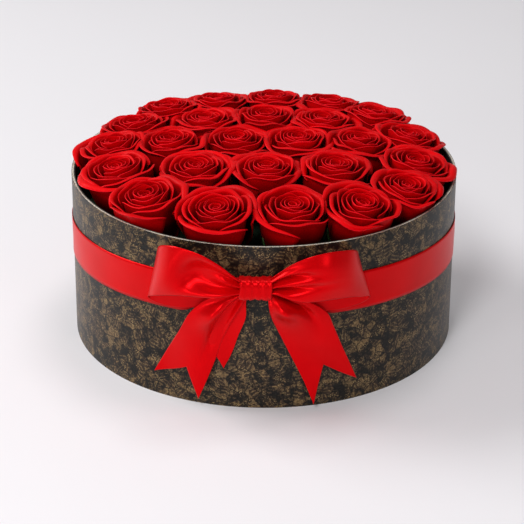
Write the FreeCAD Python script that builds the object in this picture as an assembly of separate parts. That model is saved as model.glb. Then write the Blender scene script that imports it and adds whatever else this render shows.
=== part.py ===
"""Round flower box: a paper-covered board box with a satin ribbon and bow round it, and a lift-out
insert of rose heads standing in floral foam.

Millimetres. +Z is up, the origin is the middle of the underside, and the bow faces -Y.

The box is a rolled board tube with a board base set into its foot. Printed paper wraps the outside
and turns under the foot, and plain dark paper lines the inside. The ribbon band goes round the
wall, a little higher at the bow than at the back, and is gathered up into the knot. The bow is two
loops and two swallow-tailed ends, pinched by a wire and covered by a wrapped knot.

The insert is a waterproof tray that holds a disc of floral foam. Rose stems are pushed into the
foam, and each carries a calyx and an open head. The outer heads lean outwards over the rim. The
heads and the ribbon are soft, so they are plain closed solids of the right size and place.
"""

import FreeCAD, Part
import math
import os

V = FreeCAD.Vector

# ---- driving dimensions ----
# box
BOX_DIAMETER = 300.0
BOX_HEIGHT = 132.0
BOARD = 2.0  # wall and base board
PAPER = 0.3  # wrap, lining and base papers
WRAP_TURN_UNDER = 14.0  # width of the wrap's hem under the foot

# ribbon band
BAND_WIDTH = 30.0
RIBBON = 0.5  # thickness of every ribbon piece
BAND_HEIGHT = 81.0  # middle of the band at the sides, above the table
BAND_RISE = 10.0  # the middle of the band is this much higher at the bow, and lower at the back
RIBBON_GAP = 0.05  # between the wrap and the band
GATHER_REACH = 46.0  # the band's lower edge starts to gather this far from the knot's middle

# bow
BOW_SHIFT = -5.5  # the knot is this far to the side of the box's middle
BOW_LIFT = 13.5  # the knot's middle is this far above the band's middle at the front
KNOT_WIDTH = 23.0
KNOT_HEIGHT = 17.0
KNOT_DEPTH = 15.0
KNOT_WRAP = 1.2  # thickness of the wrapped ribbon that covers the knot
KNOT_ROUND = 5.0
LOOP_REACH = 80.0  # from the knot's middle to a loop's end
LOOP_WIDTH = 52.0  # top of a loop's front panel to the foot of its back panel
LOOP_DEPTH = 13.0  # front to back, inside the end turn
TAIL_WIDTH = 36.0
TAIL_LEAN = 24.0  # degrees away from plumb
TAIL_NOTCH = 18.0  # depth of the swallow-tail cut
TAIL_SHOULDER = 0.66  # share of a tail's length over which its outer edge is straight
TAIL_FLOOR_GAP = 6.0  # the tails are cut to hang just clear of the table
UNDER_TAIL_WIDTH = 20.0  # a short folded end that shows behind the left tail
UNDER_TAIL_LEAN = 18.0
UNDER_TAIL_NOTCH = 6.0
UNDER_TAIL_SHARE = 0.67  # its length as a share of the height of the knot over the tails' feet
BOW_GAP = 0.4  # between the band, the tails and the loops, one in front of another
WIRE_DIAMETER = 0.8

# insert
LINER_CLEARANCE = 1.0  # tray to lining, all round
LINER = 0.6  # thickness of the tray's sheet
LINER_LIP = 6.0  # the tray stands this far above the foam
SEAT_GAP = 0.2  # the crinkled underside of the tray holds it this far off the base lining
FOAM_CLEARANCE = 0.3
HEAD_PROUD = 18.0  # the outer heads stand this far above the rim
HEAD_HEIGHT = 46.0
HEAD_DIAMETER = 58.0  # a head with room to open fully
HEAD_GAP = 2.0  # least gap between two heads, if they stood upright
HEAD_WALL_GAP = 2.0  # from an outer head to the lining at the rim, before its lean takes part of it
HEAD_WIDEST = 0.86  # share of its height at which a head is widest
HEAD_CUP = 0.88  # radius of a head where it passes the rim, as a share of its widest radius
HEAD_CUP_HEIGHT = 0.66  # that place, as a share of the head's height
HEAD_LEAN_DROP = 0.05  # share of its height by which its lean lowers a head's outer side
HEAD_BASE_RADIUS = 8.5
CALYX_HEIGHT = 10.0
SEPAL_REACH = 19.0
SEPAL = 0.8
NECK = 9.0  # stem that shows between the calyx and the foam
STEM_DIAMETER = 5.5
STEM_DEPTH = 44.0  # stem inside the foam
STEM_FIT = 0.05
LEAF_WIDTH = 17.0
LEAF_HEIGHT = 34.0
LEAF = 0.6
LEAF_WALL_GAP = 3.0  # between a leaf and the tray

# Groups of heads: how much higher than the outer heads, lean outwards in degrees, and for each head
# its bearing in degrees from +X and its distance out, as a share of the outer ring's radius.
OUTER_FRONT = [(-134, 1.08), (-107, 1.024), (-79, 0.955), (-55, 1.087), (-33, 1.094), (-11, 1.017)]
OUTER_BACK = [(15, 1.014), (41, 1.022), (62, 0.99), (86, 0.947), (110, 0.963), (131, 1.02), (153, 0.997)]
OUTER_LEFT = [(175, 1.012), (199, 1.02)]
INNER = [(8, 0.648), (49, 0.616), (132, 0.611), (174, 0.64), (-139, 0.589), (-37, 0.584), (89, 0.53)]
MIDDLE = [(-87, 0.391), (26, 0.255), (153, 0.204)]
GROUPS = [
    (0.0, 12.0, OUTER_FRONT),
    (0.0, 8.0, OUTER_BACK),
    (0.0, 10.0, OUTER_LEFT),
    (3.5, 4.0, INNER),
    (3.5, 2.0, MIDDLE),
]

# ---- sizes that follow ----
wrap_radius = BOX_DIAMETER / 2
board_radius = wrap_radius - PAPER
bore_radius = board_radius - BOARD
lining_radius = bore_radius - PAPER
floor_top = PAPER + BOARD + PAPER  # top of the base lining

band_radius = wrap_radius + RIBBON_GAP
band_front = band_radius + RIBBON
under_tail_radius = band_front + BOW_GAP
tail_radius = under_tail_radius + RIBBON + BOW_GAP
tail_front = tail_radius + RIBBON
loop_radius = tail_front + BOW_GAP
knot_height = BAND_HEIGHT + BAND_RISE + BOW_LIFT
knot_left, knot_right = BOW_SHIFT - KNOT_WIDTH / 2, BOW_SHIFT + KNOT_WIDTH / 2
knot_back = -math.sqrt(loop_radius**2 - min(abs(knot_left), abs(knot_right)) ** 2) - BOW_GAP

liner_radius = lining_radius - LINER_CLEARANCE
liner_floor = floor_top + SEAT_GAP
foam_radius = liner_radius - LINER - FOAM_CLEARANCE
foam_floor = liner_floor + LINER
head_top = BOX_HEIGHT + HEAD_PROUD
head_base = head_top - HEAD_HEIGHT
calyx_base = head_base - CALYX_HEIGHT
foam_top = calyx_base - NECK
stem_foot = foam_top - STEM_DEPTH

ring_radius = lining_radius - HEAD_WALL_GAP - HEAD_DIAMETER / 2


# ---- helpers ----
def save(shape, node):
    """Writes one node's solid, or group of solids, to parts/."""
    shape.exportStep(os.path.join("parts", node + ".step"))


def tube(outer, inner, low, high):
    """A plain ring about the box's axis."""
    body = Part.makeCylinder(outer, high - low, V(0, 0, low))
    return body.cut(Part.makeCylinder(inner, high - low, V(0, 0, low)))


def arc(a, b, c):
    return Part.Arc(a, b, c).toShape()


def prism_from_front(points):
    """Extrudes a closed outline of (x, z) points through the front half of the box, along Y."""
    depth = wrap_radius + LOOP_DEPTH * 3
    corners = [V(x, -depth, z) for x, z in points]
    face = Part.Face(Part.makePolygon(corners + corners[:1]))
    return face.extrude(V(0, depth, 0))


def at_bearing(degrees, radius, z=0.0):
    """A point at a bearing from the front, positive towards +X."""
    turn = math.radians(degrees)
    return V(radius * math.sin(turn), -radius * math.cos(turn), z)


def bearing_of(x, radius):
    return math.degrees(math.asin(x / radius))


# ---- box ----
def box_wall():
    return tube(board_radius, bore_radius, PAPER, BOX_HEIGHT)


def box_base():
    return Part.makeCylinder(bore_radius, BOARD, V(0, 0, PAPER))


def wall_wrap():
    """The printed paper: round the wall, and turned under the foot as a hem."""
    wall = tube(wrap_radius, board_radius, 0, BOX_HEIGHT)
    hem = tube(board_radius, board_radius - WRAP_TURN_UNDER, 0, PAPER)
    return wall.fuse(hem).removeSplitter()


def base_paper():
    return Part.makeCylinder(board_radius - WRAP_TURN_UNDER, PAPER)


def wall_lining():
    return tube(bore_radius, lining_radius, floor_top - PAPER, BOX_HEIGHT)


def base_lining():
    return Part.makeCylinder(lining_radius, PAPER, V(0, 0, floor_top - PAPER))


# ---- ribbon ----
def tilted_slab(low, high):
    """Space between two parallel planes that rise towards the bow. Heights are at the box's sides."""
    reach = BOX_DIAMETER
    slope = BAND_RISE / wrap_radius
    side = [
        V(-reach, -reach, low + slope * reach),
        V(-reach, reach, low - slope * reach),
        V(-reach, reach, high - slope * reach),
        V(-reach, -reach, high + slope * reach),
    ]
    return Part.Face(Part.makePolygon(side + side[:1])).extrude(V(2 * reach, 0, 0))


def ribbon_band():
    """The band, with its lower edge gathered up to the knot at the front."""
    low, high = BAND_HEIGHT - BAND_WIDTH / 2, BAND_HEIGHT + BAND_WIDTH / 2
    band = tube(band_front, band_radius, 0, BOX_HEIGHT).common(tilted_slab(low, high))
    foot = low + BAND_RISE - BAND_WIDTH / 2
    pinch = knot_height - KNOT_HEIGHT / 2 + KNOT_WRAP
    lower = prism_from_front(
        [
            (BOW_SHIFT - GATHER_REACH, foot),
            (BOW_SHIFT + GATHER_REACH, foot),
            (BOW_SHIFT + GATHER_REACH, low + BAND_RISE * 0.9),
            (knot_right - KNOT_WRAP, pinch),
            (knot_left + KNOT_WRAP, pinch),
            (BOW_SHIFT - GATHER_REACH, low + BAND_RISE * 0.9),
        ]
    )
    return band.cut(lower)


def loop_plan(side):
    """A loop seen from above: back panel on the wall, a round end turn and a bellied front panel."""
    knot_x = knot_right if side > 0 else -knot_left
    shift = side * BOW_SHIFT
    start = bearing_of(knot_x, loop_radius)
    end = bearing_of(LOOP_REACH + shift - LOOP_DEPTH / 2, loop_radius)
    middle = (start + end) / 2
    deep = loop_radius + LOOP_DEPTH
    turn = math.degrees(LOOP_DEPTH / 2 / loop_radius)
    back = arc(*(at_bearing(side * b, loop_radius) for b in (start, middle, end)))
    round_end = arc(
        at_bearing(side * end, loop_radius),
        at_bearing(side * (end + turn), loop_radius + LOOP_DEPTH / 2),
        at_bearing(side * end, deep),
    )
    front = arc(
        at_bearing(side * end, deep),
        at_bearing(side * middle, deep - 1.0),
        at_bearing(side * start, loop_radius + KNOT_DEPTH / 2),
    )
    pinch = Part.makeLine(
        at_bearing(side * start, loop_radius + KNOT_DEPTH / 2), at_bearing(side * start, loop_radius)
    )
    return Part.Wire([back, round_end, front, pinch])


def loop_outline(side):
    """A loop seen from the front: narrow at the knot and flared to the end, which leans outwards."""
    top, foot = knot_height + LOOP_WIDTH / 2, knot_height - LOOP_WIDTH / 2
    knot_half = KNOT_HEIGHT / 2 - KNOT_WRAP
    near = knot_right if side > 0 else knot_left
    far = BOW_SHIFT + side * LOOP_REACH
    flare = BOW_SHIFT + side * LOOP_REACH * 0.5
    lean = side * LOOP_WIDTH * 0.2
    return [
        (near, knot_height - knot_half),
        (flare, foot + LOOP_WIDTH * 0.06),
        (far + side * LOOP_DEPTH, foot),
        (far - lean + side * LOOP_DEPTH, top),
        (flare, top),
        (near + side * LOOP_REACH * 0.22, knot_height + LOOP_WIDTH * 0.36),
        (near, knot_height + knot_half),
    ]


def bow_loop(side):
    """A hollow loop of ribbon, open at the top and the foot."""
    plan = loop_plan(side)
    inner = plan.makeOffset2D(-RIBBON)
    ring = Part.Face(plan).cut(Part.Face(inner))
    ring.translate(V(0, 0, knot_height - LOOP_WIDTH))
    strip = ring.extrude(V(0, 0, 2 * LOOP_WIDTH))
    return strip.common(prism_from_front(loop_outline(side)))


def bow_tail(side, inner_radius, tilt, width, cut, share):
    """A swallow-tailed end that lies down the wall from the knot."""
    lean = math.radians(tilt)
    down = V(side * math.sin(lean), 0, -math.cos(lean))
    out = V(side * math.cos(lean), 0, math.sin(lean))
    root = V(BOW_SHIFT + side * 4.0, 0, knot_height - KNOT_HEIGHT / 2 + KNOT_WRAP)
    length = (root.z - TAIL_FLOOR_GAP) * share / math.cos(lean)
    inner_tip = root + down * length
    outer_tip = inner_tip + out * width
    notch = (inner_tip + outer_tip) / 2 - down * cut
    shoulder = outer_tip - down * length * TAIL_SHOULDER
    root_out = V(BOW_SHIFT + side * KNOT_WIDTH * 0.48, 0, root.z)
    outline = [(p.x, p.z) for p in (root, inner_tip, notch, outer_tip, shoulder, root_out)]
    shell = tube(inner_radius + RIBBON, inner_radius, 0, BOX_HEIGHT)
    return shell.common(prism_from_front(outline))


def knot_block(inset, width):
    """A rounded bar along X where the knot is, smaller than it by inset all round."""
    round_edge = KNOT_ROUND - inset
    depth, height = KNOT_DEPTH - 2 * inset, KNOT_HEIGHT - 2 * inset
    corner = V(BOW_SHIFT - width / 2, knot_back - KNOT_DEPTH + inset, knot_height - height / 2)
    block = Part.makeBox(width, depth, height, corner)
    along = [e for e in block.Edges if abs(e.tangentAt(e.FirstParameter).x) > 0.9]
    return block.makeFillet(round_edge, along)


def bow_knot():
    """The short length of ribbon wrapped round the middle of the bow."""
    return knot_block(0, KNOT_WIDTH).cut(knot_block(KNOT_WRAP, KNOT_WIDTH))


def tie_wire_cutter(radius):
    """A ring about X that fits round the pinched core, of the given wire radius."""
    wire_path_radius = (KNOT_HEIGHT / 2 - KNOT_WRAP) * 0.62
    middle = V(BOW_SHIFT, knot_back - KNOT_DEPTH / 2, knot_height)
    return Part.makeTorus(wire_path_radius, radius, middle, V(1, 0, 0))


def bow_core():
    """The pinched middle of the bow ribbon, inside the knot, with a waist where the wire ties it."""
    core = knot_block(KNOT_WRAP, KNOT_WIDTH)
    waist_radius = (KNOT_HEIGHT / 2 - KNOT_WRAP) * 0.62 - WIRE_DIAMETER / 2
    middle = V(BOW_SHIFT - WIRE_DIAMETER, knot_back - KNOT_DEPTH / 2, knot_height)
    groove = knot_block(KNOT_WRAP, 2 * WIRE_DIAMETER)
    return core.cut(groove.cut(Part.makeCylinder(waist_radius, 2 * WIRE_DIAMETER, middle, V(1, 0, 0))))


def bow_tie_wire():
    return tie_wire_cutter(WIRE_DIAMETER / 2)


# ---- insert ----
def liner_tray():
    """A thin waterproof cup that holds the wet foam."""
    cup = Part.makeCylinder(liner_radius, foam_top + LINER_LIP - liner_floor, V(0, 0, liner_floor))
    inside = Part.makeCylinder(liner_radius - LINER, BOX_HEIGHT, V(0, 0, foam_floor))
    return cup.cut(inside)


def head_places():
    """One placement per head: it maps a head made upright on the axis to its place and lean."""
    places = []
    for rise, lean, heads in GROUPS:
        spread = HEAD_HEIGHT * HEAD_WIDEST * math.sin(math.radians(lean))
        for bearing, share in heads:
            foot = V(ring_radius * share - spread, 0, head_base + rise)
            turn = FreeCAD.Rotation(V(0, 0, 1), bearing)
            tilt = FreeCAD.Rotation(V(0, 1, 0), lean)
            places.append(FreeCAD.Placement(turn.multVec(foot), turn * tilt))
    return places


def head_radii(places):
    """Each head opens fully, or until it meets the nearest one or its cup meets the wall at the rim."""
    middles = [p.multVec(V(0, 0, HEAD_HEIGHT * HEAD_WIDEST)) for p in places]
    # A taller head stands deeper in the box, so that it is already wider where it passes the rim.
    at_rim = (HEAD_HEIGHT - HEAD_PROUD) / HEAD_HEIGHT + HEAD_LEAN_DROP
    opened = max(0.0, at_rim - HEAD_CUP_HEIGHT) / (HEAD_WIDEST - HEAD_CUP_HEIGHT)
    cup_share = HEAD_CUP + (1 - HEAD_CUP) * min(1.0, opened)
    radii = []
    for a, place in zip(middles, places):
        nearest = min(math.hypot(a.x - b.x, a.y - b.y) for b in middles if b is not a)
        up = place.Rotation.multVec(V(0, 0, 1))
        axis = a + up * ((BOX_HEIGHT - a.z) / up.z)
        room = lining_radius - HEAD_WALL_GAP - math.hypot(axis.x, axis.y)
        radii.append(min(HEAD_DIAMETER / 2, (nearest - HEAD_GAP) / 2, room / cup_share))
    return radii


def placed(shape, place):
    copy = shape.copy()
    copy.Placement = place
    return copy


def head(widest):
    """An open rose head as a plain bowl of that radius, with its base on the origin."""
    base = V(HEAD_BASE_RADIUS, 0, 0)
    cup = V(widest * HEAD_CUP, 0, HEAD_HEIGHT * HEAD_CUP_HEIGHT)
    shoulder = V(widest, 0, HEAD_HEIGHT * HEAD_WIDEST)
    brow = V(widest * 0.8, 0, HEAD_HEIGHT)
    side = arc(base, cup, shoulder)
    lip = arc(shoulder, V(widest * 0.95, 0, HEAD_HEIGHT * 0.95), brow)
    outline = [
        Part.makeLine(V(0, 0, 0), base),
        side,
        lip,
        Part.makeLine(brow, V(0, 0, HEAD_HEIGHT)),
        Part.makeLine(V(0, 0, HEAD_HEIGHT), V(0, 0, 0)),
    ]
    return Part.makeSolid(Part.Face(Part.Wire(outline)).revolve(V(0, 0, 0), V(0, 0, 1), 360))


def calyx():
    """The hip under a head, with a star of five sepals just below the petals."""
    neck_radius = STEM_DIAMETER / 2
    hip_radius = HEAD_BASE_RADIUS * 0.75
    side = arc(
        V(neck_radius, 0, -CALYX_HEIGHT),
        V(hip_radius, 0, -CALYX_HEIGHT * 0.45),
        V(hip_radius * 0.85, 0, 0),
    )
    outline = [
        Part.makeLine(V(0, 0, -CALYX_HEIGHT), V(neck_radius, 0, -CALYX_HEIGHT)),
        side,
        Part.makeLine(V(hip_radius * 0.85, 0, 0), V(0, 0, 0)),
        Part.makeLine(V(0, 0, 0), V(0, 0, -CALYX_HEIGHT)),
    ]
    hip = Part.Face(Part.Wire(outline)).revolve(V(0, 0, 0), V(0, 0, 1), 360)
    star = []
    for k in range(10):
        reach = SEPAL_REACH if k % 2 == 0 else hip_radius
        turn = math.radians(36 * k)
        star.append(V(reach * math.cos(turn), reach * math.sin(turn), -SEPAL))
    plate = Part.Face(Part.makePolygon(star + star[:1])).extrude(V(0, 0, SEPAL))
    return Part.makeSolid(hip).fuse(plate).removeSplitter()


def stem(radius, reach):
    """A cut stem from a calyx down, reach long, as a solid under the origin."""
    return Part.makeCylinder(radius, reach, V(0, 0, -CALYX_HEIGHT - reach))


def foam_disc(places):
    """Foam cut to a disc, with a hole where each stem was pushed in."""
    foam = Part.makeCylinder(foam_radius, foam_top - foam_floor, V(0, 0, foam_floor))
    hole = stem(STEM_DIAMETER / 2 + STEM_FIT, NECK + STEM_DEPTH + STEM_FIT)
    return foam.cut([placed(hole, p) for p in places])


def leaves(places):
    """Upright leaflets between outer heads, just inside the tray, each on a stalk in the foam."""
    outer = sorted(b % 360 for rise, lean, heads in GROUPS if rise == 0 for b, share in heads)
    middle_radius = liner_radius - LINER - LEAF_WALL_GAP
    low = foam_top + STEM_FIT
    out = []
    for a, b in zip(outer[::2], outer[1::2]):
        bearing = (a + b) / 2
        half = LEAF_WIDTH / 2
        outline = [
            arc(V(0, 0, low), V(0, half, low + LEAF_HEIGHT * 0.45), V(0, 0, low + LEAF_HEIGHT)),
            arc(V(0, 0, low + LEAF_HEIGHT), V(0, -half, low + LEAF_HEIGHT * 0.45), V(0, 0, low)),
        ]
        blade = Part.Face(Part.Wire(outline)).extrude(V(middle_radius * 2, 0, 0))
        skin = tube(middle_radius, middle_radius - LEAF, 0, BOX_HEIGHT * 2)
        leaf = skin.common(blade)
        leaf.rotate(V(0, 0, 0), V(0, 0, 1), bearing)
        out.append(leaf)
    return Part.makeCompound([s for leaf in out for s in leaf.Solids])


# ---- write every node ----
os.makedirs("parts", exist_ok=True)

save(box_wall(), "box_wall")
save(box_base(), "box_base")
save(wall_wrap(), "wall_wrap")
save(base_paper(), "base_paper")
save(wall_lining(), "wall_lining")
save(base_lining(), "base_lining")

save(ribbon_band(), "ribbon_band")
save(bow_loop(-1), "bow_loop_left")
save(bow_loop(1), "bow_loop_right")
tail = (tail_radius, TAIL_LEAN, TAIL_WIDTH, TAIL_NOTCH, 1.0)
save(bow_tail(-1, *tail), "bow_tail_left")
save(bow_tail(1, *tail), "bow_tail_right")
under_tail = (under_tail_radius, UNDER_TAIL_LEAN, UNDER_TAIL_WIDTH, UNDER_TAIL_NOTCH, UNDER_TAIL_SHARE)
save(bow_tail(-1, *under_tail), "bow_tail_under")
save(bow_knot(), "bow_knot")
save(bow_core(), "bow_core")
save(bow_tie_wire(), "bow_tie_wire")

places = head_places()
save(liner_tray(), "liner_tray")
save(foam_disc(places), "foam_disc")
whole_stem = stem(STEM_DIAMETER / 2, NECK + STEM_DEPTH)
save(Part.makeCompound([placed(whole_stem, p) for p in places]), "rose_stems")
one_calyx = calyx()
save(Part.makeCompound([placed(one_calyx, p) for p in places]), "rose_calyxes")
radii = head_radii(places)
for number, (place, radius) in enumerate(zip(places, radii), 1):
    save(placed(head(radius), place), f"rose_head_{number:02d}")
save(leaves(places), "rose_leaves")
print(f"{len(places)} heads of radius {min(radii):.1f} to {max(radii):.1f}, foam top {foam_top:.1f}")
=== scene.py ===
"""Round flower box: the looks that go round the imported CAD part.

The board, papers, tray, foam, stems and wire keep their CAD shapes and get their finishes here.
The soft pieces are made here, each in the place of its plain CAD solid: the satin band and bow,
the sepals, the leaflets and the open rose heads.

Everything is in metres in the CAD part's frame: +Z is up, the origin is the middle of the
underside and the bow faces -Y. Places come from the CAD nodes' boxes.
"""

import math

import bpy
import numpy as np
from mathutils import Matrix, Vector


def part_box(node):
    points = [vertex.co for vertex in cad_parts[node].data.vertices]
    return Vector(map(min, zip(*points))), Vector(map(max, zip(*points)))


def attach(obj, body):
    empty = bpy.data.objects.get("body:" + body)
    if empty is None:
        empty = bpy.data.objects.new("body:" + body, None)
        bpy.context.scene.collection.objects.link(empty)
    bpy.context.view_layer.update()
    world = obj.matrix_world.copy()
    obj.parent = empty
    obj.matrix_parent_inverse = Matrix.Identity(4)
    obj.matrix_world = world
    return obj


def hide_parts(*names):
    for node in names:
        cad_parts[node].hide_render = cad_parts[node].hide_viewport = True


bl_info = {
    "name": "Flower Box",
    "version": (1, 0, 0),
    "blender": (4, 5, 0),
    "location": "3D View > Sidebar > Flower Box",
    "description": "Finishes a round flower box with a satin bow and open roses",
    "category": "Object",
}

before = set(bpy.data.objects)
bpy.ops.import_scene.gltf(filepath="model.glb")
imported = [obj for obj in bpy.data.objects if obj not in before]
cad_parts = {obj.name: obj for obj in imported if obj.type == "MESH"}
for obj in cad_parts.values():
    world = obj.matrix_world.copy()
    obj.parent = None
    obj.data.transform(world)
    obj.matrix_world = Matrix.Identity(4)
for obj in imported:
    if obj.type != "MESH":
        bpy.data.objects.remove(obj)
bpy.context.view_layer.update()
MM = 0.001
BANDS_PER_SCALE = 0.314  # a wave texture's bands are this far apart at a scale of 1


# ---- places read from the CAD part ----
def middle(node):
    """The middle of a CAD node's box."""
    low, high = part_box(node)
    return (low + high) / 2


def size(node):
    """The three sides of a CAD node's box."""
    low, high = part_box(node)
    return high - low


WALL_RADIUS = size("wall_wrap").x / 2
RIM_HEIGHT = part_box("wall_wrap")[1].z
KNOT = middle("bow_knot")
HEADS = sorted(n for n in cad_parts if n.startswith("rose_head"))
HEAD_MIDDLES = [middle(n) for n in HEADS]
RING_RADIUS = max(math.hypot(m.x, m.y) for m in HEAD_MIDDLES)


def linear(code):
    """An sRGB hex colour as linear red, green, blue and alpha."""
    channels = [int(code[i : i + 2], 16) / 255 for i in (1, 3, 5)]
    return (*(c / 12.92 if c <= 0.04045 else ((c + 0.055) / 1.055) ** 2.4 for c in channels), 1.0)


def colour(name, about, code):
    """A colour the user can change, with its hex default."""
    return bpy.props.FloatVectorProperty(
        name=name, description=about, default=linear(code), size=4, min=0, max=1, subtype="COLOR"
    )


def length(name, about, millimetres):
    """A length the user can change, with its default in millimetres."""
    return bpy.props.FloatProperty(
        name=name, description=about, default=millimetres * MM, unit="LENGTH", precision=4
    )


class FlowerBoxSizes(bpy.types.PropertyGroup):
    """Sizes that the CAD part doesn't fix."""

    band_width: length("Band width", "Width of the ribbon round the wall", 30.0)
    ribbon_thickness: length("Ribbon thickness", "Thickness of the satin", 0.35)
    petal_thickness: length("Petal thickness", "Thickness of a petal", 0.5)
    petals: bpy.props.IntProperty(
        name="Petals", description="Petals in each head", default=22, min=8, max=40
    )
    head_open: length("Open head", "Radius of a head that has room to open", 32.5)
    over_rim: length("Over the rim", "How far from the box's axis the outer petals reach", 155.5)
    head_press: bpy.props.FloatProperty(
        name="Head press",
        description="Reach of a head towards a neighbour, as a share of half the way to it",
        default=1.2,
        subtype="FACTOR",
    )


class FlowerBoxColours(bpy.types.PropertyGroup):
    """Colours that set the look of each finish."""

    satin: colour("Satin", "Ribbon and bow", "#D20208")
    petal_lip: colour("Petal lip", "Lit edge of a petal", "#CE0006")
    # A pale rim that is partly the petal's own paler edge and partly painted highlight.
    petal_pale_rim_and_highlight: colour("Petal rim", "Thin pale edge of a petal", "#E41420")
    petal_face: colour("Petal face", "Body of a petal", "#A40004")
    # Painted shade deep in the petals, where they shade one another.
    petal_root_shade: colour("Petal root", "Deep part of a petal", "#380001")
    paper_ground: colour("Paper ground", "Dark ground of the printed paper", "#15130F")
    paper_leaf: colour("Paper leaf", "Printed bronze leaves", "#382B20")
    paper_gold: colour("Paper gold", "Printed gold lines", "#705A3C")
    board_edge: colour("Board edge", "Cut edge of the board", "#DAD4C8")
    table: colour("Table", "Floor under the box", "#E9E7EA")


# ---- surfaces ----
def smooth_path(stations, count):
    """Points on a smooth curve through the stations: cubic pieces that meet with one slope, which
    at each station is half the step between its neighbours."""
    stops = np.asarray(stations, float)
    slopes = np.gradient(stops, axis=0)
    along = np.linspace(0, len(stops) - 1, count)
    i = np.minimum(along.astype(int), len(stops) - 2)
    f = (along - i).reshape(-1, *[1] * (stops.ndim - 1))
    near, far, leave, arrive = stops[i], stops[i + 1], slopes[i], slopes[i + 1]
    return (
        near * (1 + 2 * f) * (1 - f) ** 2
        + far * (3 - 2 * f) * f**2
        + leave * f * (1 - f) ** 2
        + arrive * (f - 1) * f**2
    )


def ease(value, low, high):
    """0 below low, 1 above high, and a smooth step between."""
    f = np.clip((value - low) / (high - low), 0, 1)
    return f * f * (3 - 2 * f)


def unit(vectors):
    """Vectors made one long."""
    return vectors / np.maximum(np.linalg.norm(vectors, axis=-1, keepdims=True), 1e-12)


def grid_normals(grids):
    """Unit normals of grids of points: the step along the rows crossed with the step across."""
    return unit(np.cross(np.gradient(grids, axis=-3), np.gradient(grids, axis=-2)))


def shell(grids, thickness):
    """Closed shells from open grids (patch, row, column, xyz): each grid is moved half its
    thickness both ways along its normals, and a strip round its border joins the two. Returns
    points and quads."""
    patches, rows, columns, _ = grids.shape
    offset = grid_normals(grids) * (np.broadcast_to(thickness, grids.shape[:3]) / 2)[..., None]
    points = np.concatenate([grids + offset, grids - offset]).reshape(-1, 3)
    ids = np.arange(rows * columns).reshape(rows, columns)
    a, b, c, d = ids[:-1, :-1], ids[1:, :-1], ids[1:, 1:], ids[:-1, 1:]
    front = np.stack([a, b, c, d], -1).reshape(-1, 4)
    border = np.concatenate([ids[:, 0], ids[-1, 1:], ids[-2::-1, -1], ids[0, -2:0:-1]])
    after = np.roll(border, -1)
    back = patches * rows * columns
    strip = np.stack([after, border, border + back, after + back], -1)
    quads = np.concatenate([front, front[:, ::-1] + back, strip])
    step = (np.arange(patches) * rows * columns)[:, None, None]
    return points, (quads[None] + step).reshape(-1, 4)


def make_piece(name, points, quads, finish, uv=None, values=()):
    """A smooth mesh object from arrays of points and quads, with a UV place and named values for
    each point."""
    mesh = bpy.data.meshes.new(name)
    mesh.vertices.add(len(points))
    mesh.vertices.foreach_set("co", points.astype(np.float32).ravel())
    mesh.loops.add(quads.size)
    mesh.loops.foreach_set("vertex_index", quads.astype(np.int32).ravel())
    mesh.polygons.add(len(quads))
    mesh.polygons.foreach_set("loop_start", np.arange(0, quads.size, 4, dtype=np.int32))
    mesh.update(calc_edges=True)
    mesh.shade_smooth()
    if uv is not None:
        layer = mesh.uv_layers.new(name="Across")
        layer.data.foreach_set("uv", uv[quads.ravel()].astype(np.float32).ravel())
    for key, value in values:
        attribute = mesh.attributes.new(key, "FLOAT", "POINT")
        attribute.data.foreach_set("value", value.astype(np.float32).ravel())
    mesh.materials.append(finish)
    piece = bpy.data.objects.new(name, mesh)
    bpy.context.scene.collection.objects.link(piece)
    return piece


def ribbon_piece(name, grid, finish, thickness):
    """One ribbon from a grid (along, across, xyz). Its UV place is in metres along and across."""
    along = np.linalg.norm(np.diff(grid.mean(1), axis=0), axis=-1)
    across = np.linalg.norm(np.diff(grid, axis=1), axis=-1).sum(1).max()
    u = np.concatenate([[0], np.cumsum(along)])[:, None] * np.ones(grid.shape[1])
    v = np.linspace(0, across, grid.shape[1])[None, :] * np.ones((grid.shape[0], 1))
    uv = np.stack([u, v], -1).reshape(-1, 2)
    points, quads = shell(grid[None], thickness)
    return make_piece(name, points, quads, finish, np.concatenate([uv, uv]))


def stand_for(piece, nodes, body):
    """The piece rides on a body and replaces its CAD nodes, which it hides."""
    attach(piece, body)
    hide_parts(*nodes)


def wall_y(x, proud):
    """Y of the front of the wall, or of a surface proud of it, at x."""
    return -np.sqrt((WALL_RADIUS + proud) ** 2 - x**2)


# ---- finishes ----
def add(tree, kind, settings):
    """Adds a node. Each setting is a field of the node or one of its inputs, and a socket that is
    given for an input is linked to it."""
    node = tree.nodes.new(kind)
    for key, value in settings.items():
        if isinstance(key, str) and hasattr(node, key):
            setattr(node, key, value)
        elif isinstance(value, bpy.types.NodeSocket):
            tree.links.new(value, node.inputs[key])
        else:
            node.inputs[key].default_value = value
    return node


def calc(tree, operation, *inputs):
    """The result of one sum on numbers or sockets."""
    settings = {"operation": operation, **dict(enumerate(inputs))}
    return add(tree, "ShaderNodeMath", settings).outputs[0]


def remap(tree, value, low, high, start=0.0, end=1.0):
    """Runs from start to end while the value runs from low to high, and is held outside them."""
    settings = {"Value": value, "From Min": low, "From Max": high, "To Min": start, "To Max": end}
    return add(tree, "ShaderNodeMapRange", settings).outputs[0]


def mix(tree, share, first, second, how="MIX"):
    """The second colour laid on the first by a share."""
    settings = {"data_type": "RGBA", "blend_type": how, 0: share, 6: first, 7: second}
    return add(tree, "ShaderNodeMix", settings).outputs[2]


def noise(tree, place, scale, detail, roughness=0.5):
    """Soft noise of so many grains to the metre."""
    settings = {"Vector": place, "Scale": scale, "Detail": detail, "Roughness": roughness}
    return add(tree, "ShaderNodeTexNoise", settings).outputs["Fac"]


def cells(tree, place, width, **settings):
    """Flat cells of about this width. Returns the node, for its distances, colours and places."""
    fields = {"voronoi_dimensions": "2D", "Scale": 1 / width, "Vector": place}
    return add(tree, "ShaderNodeTexVoronoi", fields | settings)


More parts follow.
